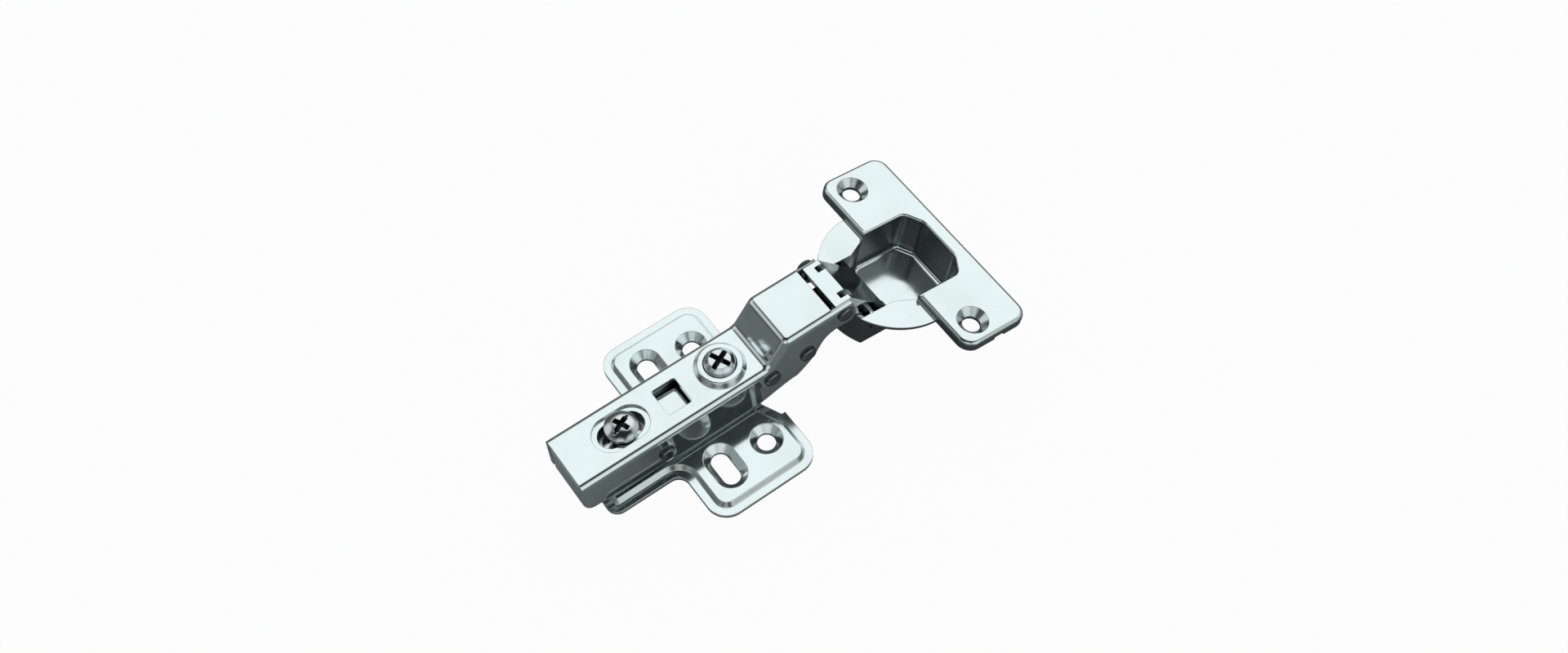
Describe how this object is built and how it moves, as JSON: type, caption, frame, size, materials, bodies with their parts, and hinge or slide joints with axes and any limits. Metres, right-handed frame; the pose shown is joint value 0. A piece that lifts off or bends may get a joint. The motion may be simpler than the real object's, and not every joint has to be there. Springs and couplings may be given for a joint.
{
  "type": "cabinet hinge",
  "caption": "Concealed cup hinge: cranked channel arm on a screw-fixed panel plate, linked to a flanged door cup that swings shut; screws set depth and overlay.",
  "frame": {"origin": "Midway between the two round screw holes of the mounting plate, on the face that lies on the cabinet panel", "axes": "+X along the arm towards the door cup, +Y along the pivot pins, +Z out of the panel"},
  "size_m": [0.1147, 0.0602, 0.0263],
  "materials": {
    "nickel_sheet": "polished nickel plate",
    "nickel_rivet": "polished nickel plate",
    "nickel_screw": "polished nickel plate",
    "bare_steel": "drawn wire",
    "damper_plastic": "moulded"
  },
  "bodies": {
    "plate": {"mounting_plate": "nickel_sheet"},
    "depth_screw": {"depth_screw": "nickel_screw"},
    "carrier": {"carrier": "nickel_sheet"},
    "overlay_screw": {"overlay_screw": "nickel_screw"},
    "arm": {"arm": "nickel_sheet", "tilt_rivet_left": "nickel_rivet", "tilt_rivet_right": "nickel_rivet", "upper_rivet": "nickel_rivet", "lower_rivet": "nickel_rivet", "damper_rivet": "nickel_rivet", "damper_tube": "damper_plastic", "damper_gland": "damper_plastic", "spring_left": "bare_steel", "spring_right": "bare_steel"},
    "damper_rod": {"damper_piston": "bare_steel", "damper_rod": "bare_steel", "damper_shoe": "damper_plastic"},
    "upper_link": {"upper_link": "nickel_sheet"},
    "lower_link": {"lower_link": "nickel_sheet"},
    "cup": {"cup": "nickel_sheet", "cup_pin_left": "nickel_rivet", "cup_pin_right": "nickel_rivet", "cup_pin_low": "nickel_rivet"}
  },
  "joints": [
    {"name": "depth_slide", "type": "slide", "parent": "plate", "child": "carrier", "axis": [1, 0, 0], "range_m": [-0.0025, 0.0025]},
    {"name": "depth_turn", "type": "hinge", "parent": "plate", "child": "depth_screw", "pos_m": [-0.0295, 0, 0.012], "axis": [0, 0, 1], "range_deg": [-180, 180]},
    {"name": "arm_tilt", "type": "hinge", "parent": "carrier", "child": "arm", "pos_m": [-0.02265, 0, 0.0088], "axis": [0, 1, 0], "range_deg": [-1.5, 1.5]},
    {"name": "overlay_turn", "type": "hinge", "parent": "carrier", "child": "overlay_screw", "pos_m": [-0.0018, 0, 0.012], "axis": [0, 0, 1], "range_deg": [-240, 240]},
    {"name": "upper_link_swing", "type": "hinge", "parent": "arm", "child": "upper_link", "pos_m": [0.02909, 0, 0.02142], "axis": [0, 1, 0], "range_deg": [0, 27.64]},
    {"name": "cup_swing", "type": "hinge", "parent": "upper_link", "child": "cup", "pos_m": [0.04142, 0, 0.00932], "axis": [0, 1, 0], "range_deg": [-126.6, 0]},
    {"name": "lower_link_swing", "type": "hinge", "parent": "arm", "child": "lower_link", "pos_m": [0.0182, 0, 0.01348], "axis": [0, 1, 0], "range_deg": [0, 27.6]},
    {"name": "damper_stroke", "type": "slide", "parent": "arm", "child": "damper_rod", "axis": [1, 0, 0], "range_m": [-0.00225, 0]}
  ],
  "couplings": [
    {"joint": "overlay_turn", "follows": "arm_tilt", "ratio": 160},
    {"joint": "cup_swing", "follows": "upper_link_swing", "ratio": -4.5745},
    {"joint": "lower_link_swing", "follows": "upper_link_swing", "ratio": 0.99313},
    {"joint": "damper_stroke", "follows": "upper_link_swing", "m_per_rad": -0.00456}
  ]
}
